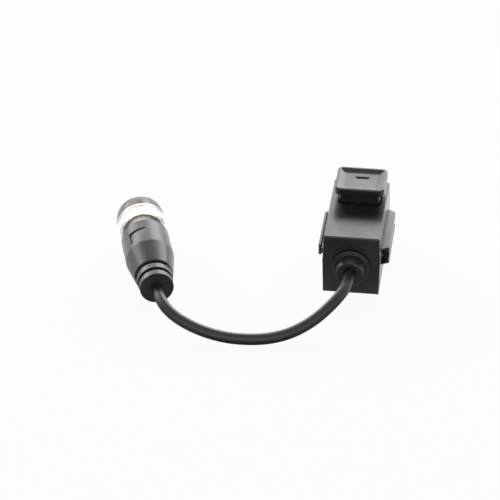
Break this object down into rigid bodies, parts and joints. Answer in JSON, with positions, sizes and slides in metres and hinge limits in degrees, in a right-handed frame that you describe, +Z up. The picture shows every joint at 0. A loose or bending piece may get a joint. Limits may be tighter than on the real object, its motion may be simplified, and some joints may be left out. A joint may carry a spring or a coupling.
{
  "type": "cctv video balun",
  "caption": "Camera video balun: a black twin-shell housing with push terminals, dovetail side rails and a short coax pigtail with a BNC plug.",
  "frame": {"origin": "centre of the housing's flat underside", "axes": "+Y from the cord end to the terminal end, +X to the right seen from the cord end, +Z up"},
  "size_m": [0.0849, 0.0661, 0.0251],
  "materials": {
    "case_plastic": "satin moulded",
    "button_plastic": "satin moulded",
    "gland_plastic": "satin moulded",
    "boot_plastic": "satin overmoulded",
    "cord_jacket": "satin extruded",
    "terminal_grey": "satin moulded",
    "terminal_white": "satin moulded",
    "tinned_metal": "tinned",
    "spring_steel": "bright strip",
    "board_laminate": "solder mask",
    "ferrite": "matt",
    "copper_wire": "enamelled",
    "component_black": "matt moulded",
    "component_tan": "matt",
    "coax_core": "translucent white",
    "white_insulator": "satin",
    "gilt_contact": "gilt",
    "gasket_rubber": "matt",
    "nickel_plate": "bright nickel plate"
  },
  "bodies": {
    "housing": {"lower_base": "case_plastic", "upper_cover": "case_plastic", "terminal_block_grey": "terminal_grey", "terminal_block_white": "terminal_white", "wire_contact_grey": "tinned_metal", "wire_contact_white": "tinned_metal", "clamp_spring_grey": "spring_steel", "clamp_spring_white": "spring_steel", "circuit_board": "board_laminate", "transformer_core": "ferrite", "transformer_winding": "copper_wire", "surge_suppressor": "component_black", "chip_capacitors": "component_tan", "cord_gland": "gland_plastic", "coax_end_in_case": "coax_core", "coax_conductor": "copper_wire", "braid_pigtail": "tinned_metal", "cord": "cord_jacket", "plug_boot": "boot_plastic", "coax_end_in_plug": "coax_core", "folded_braid": "tinned_metal", "crimp_ferrule": "nickel_plate", "rear_bushing": "nickel_plate", "plug_body": "nickel_plate", "contact_sleeve": "nickel_plate", "insulator": "white_insulator", "centre_pin": "gilt_contact", "sealing_gasket": "gasket_rubber", "wave_washer": "spring_steel"},
    "button": {"release_button": "button_plastic"},
    "washer": {"thrust_washer": "spring_steel"},
    "nut": {"coupling_nut": "nickel_plate"}
  },
  "joints": [
    {"name": "button_press", "type": "slide", "parent": "housing", "child": "button", "axis": [0, 0, -1], "range_m": [0, 0.0022], "stiffness_N_per_m": 50, "springref_m": -0.002, "deforming": ["clamp_spring_grey", "clamp_spring_white"]},
    {"name": "nut_pull", "type": "slide", "parent": "housing", "child": "washer", "axis": [-0.2773, 0.9608, 0], "range_m": [0, 0.0008], "stiffness_N_per_m": 100, "springref_m": -0.002, "deforming": ["wave_washer"]},
    {"name": "nut_turn", "type": "hinge", "parent": "washer", "child": "nut", "pos_m": [-0.06598, 0.00239, 0.0073], "axis": [-0.2773, 0.9608, 0], "continuous": true}
  ]
}
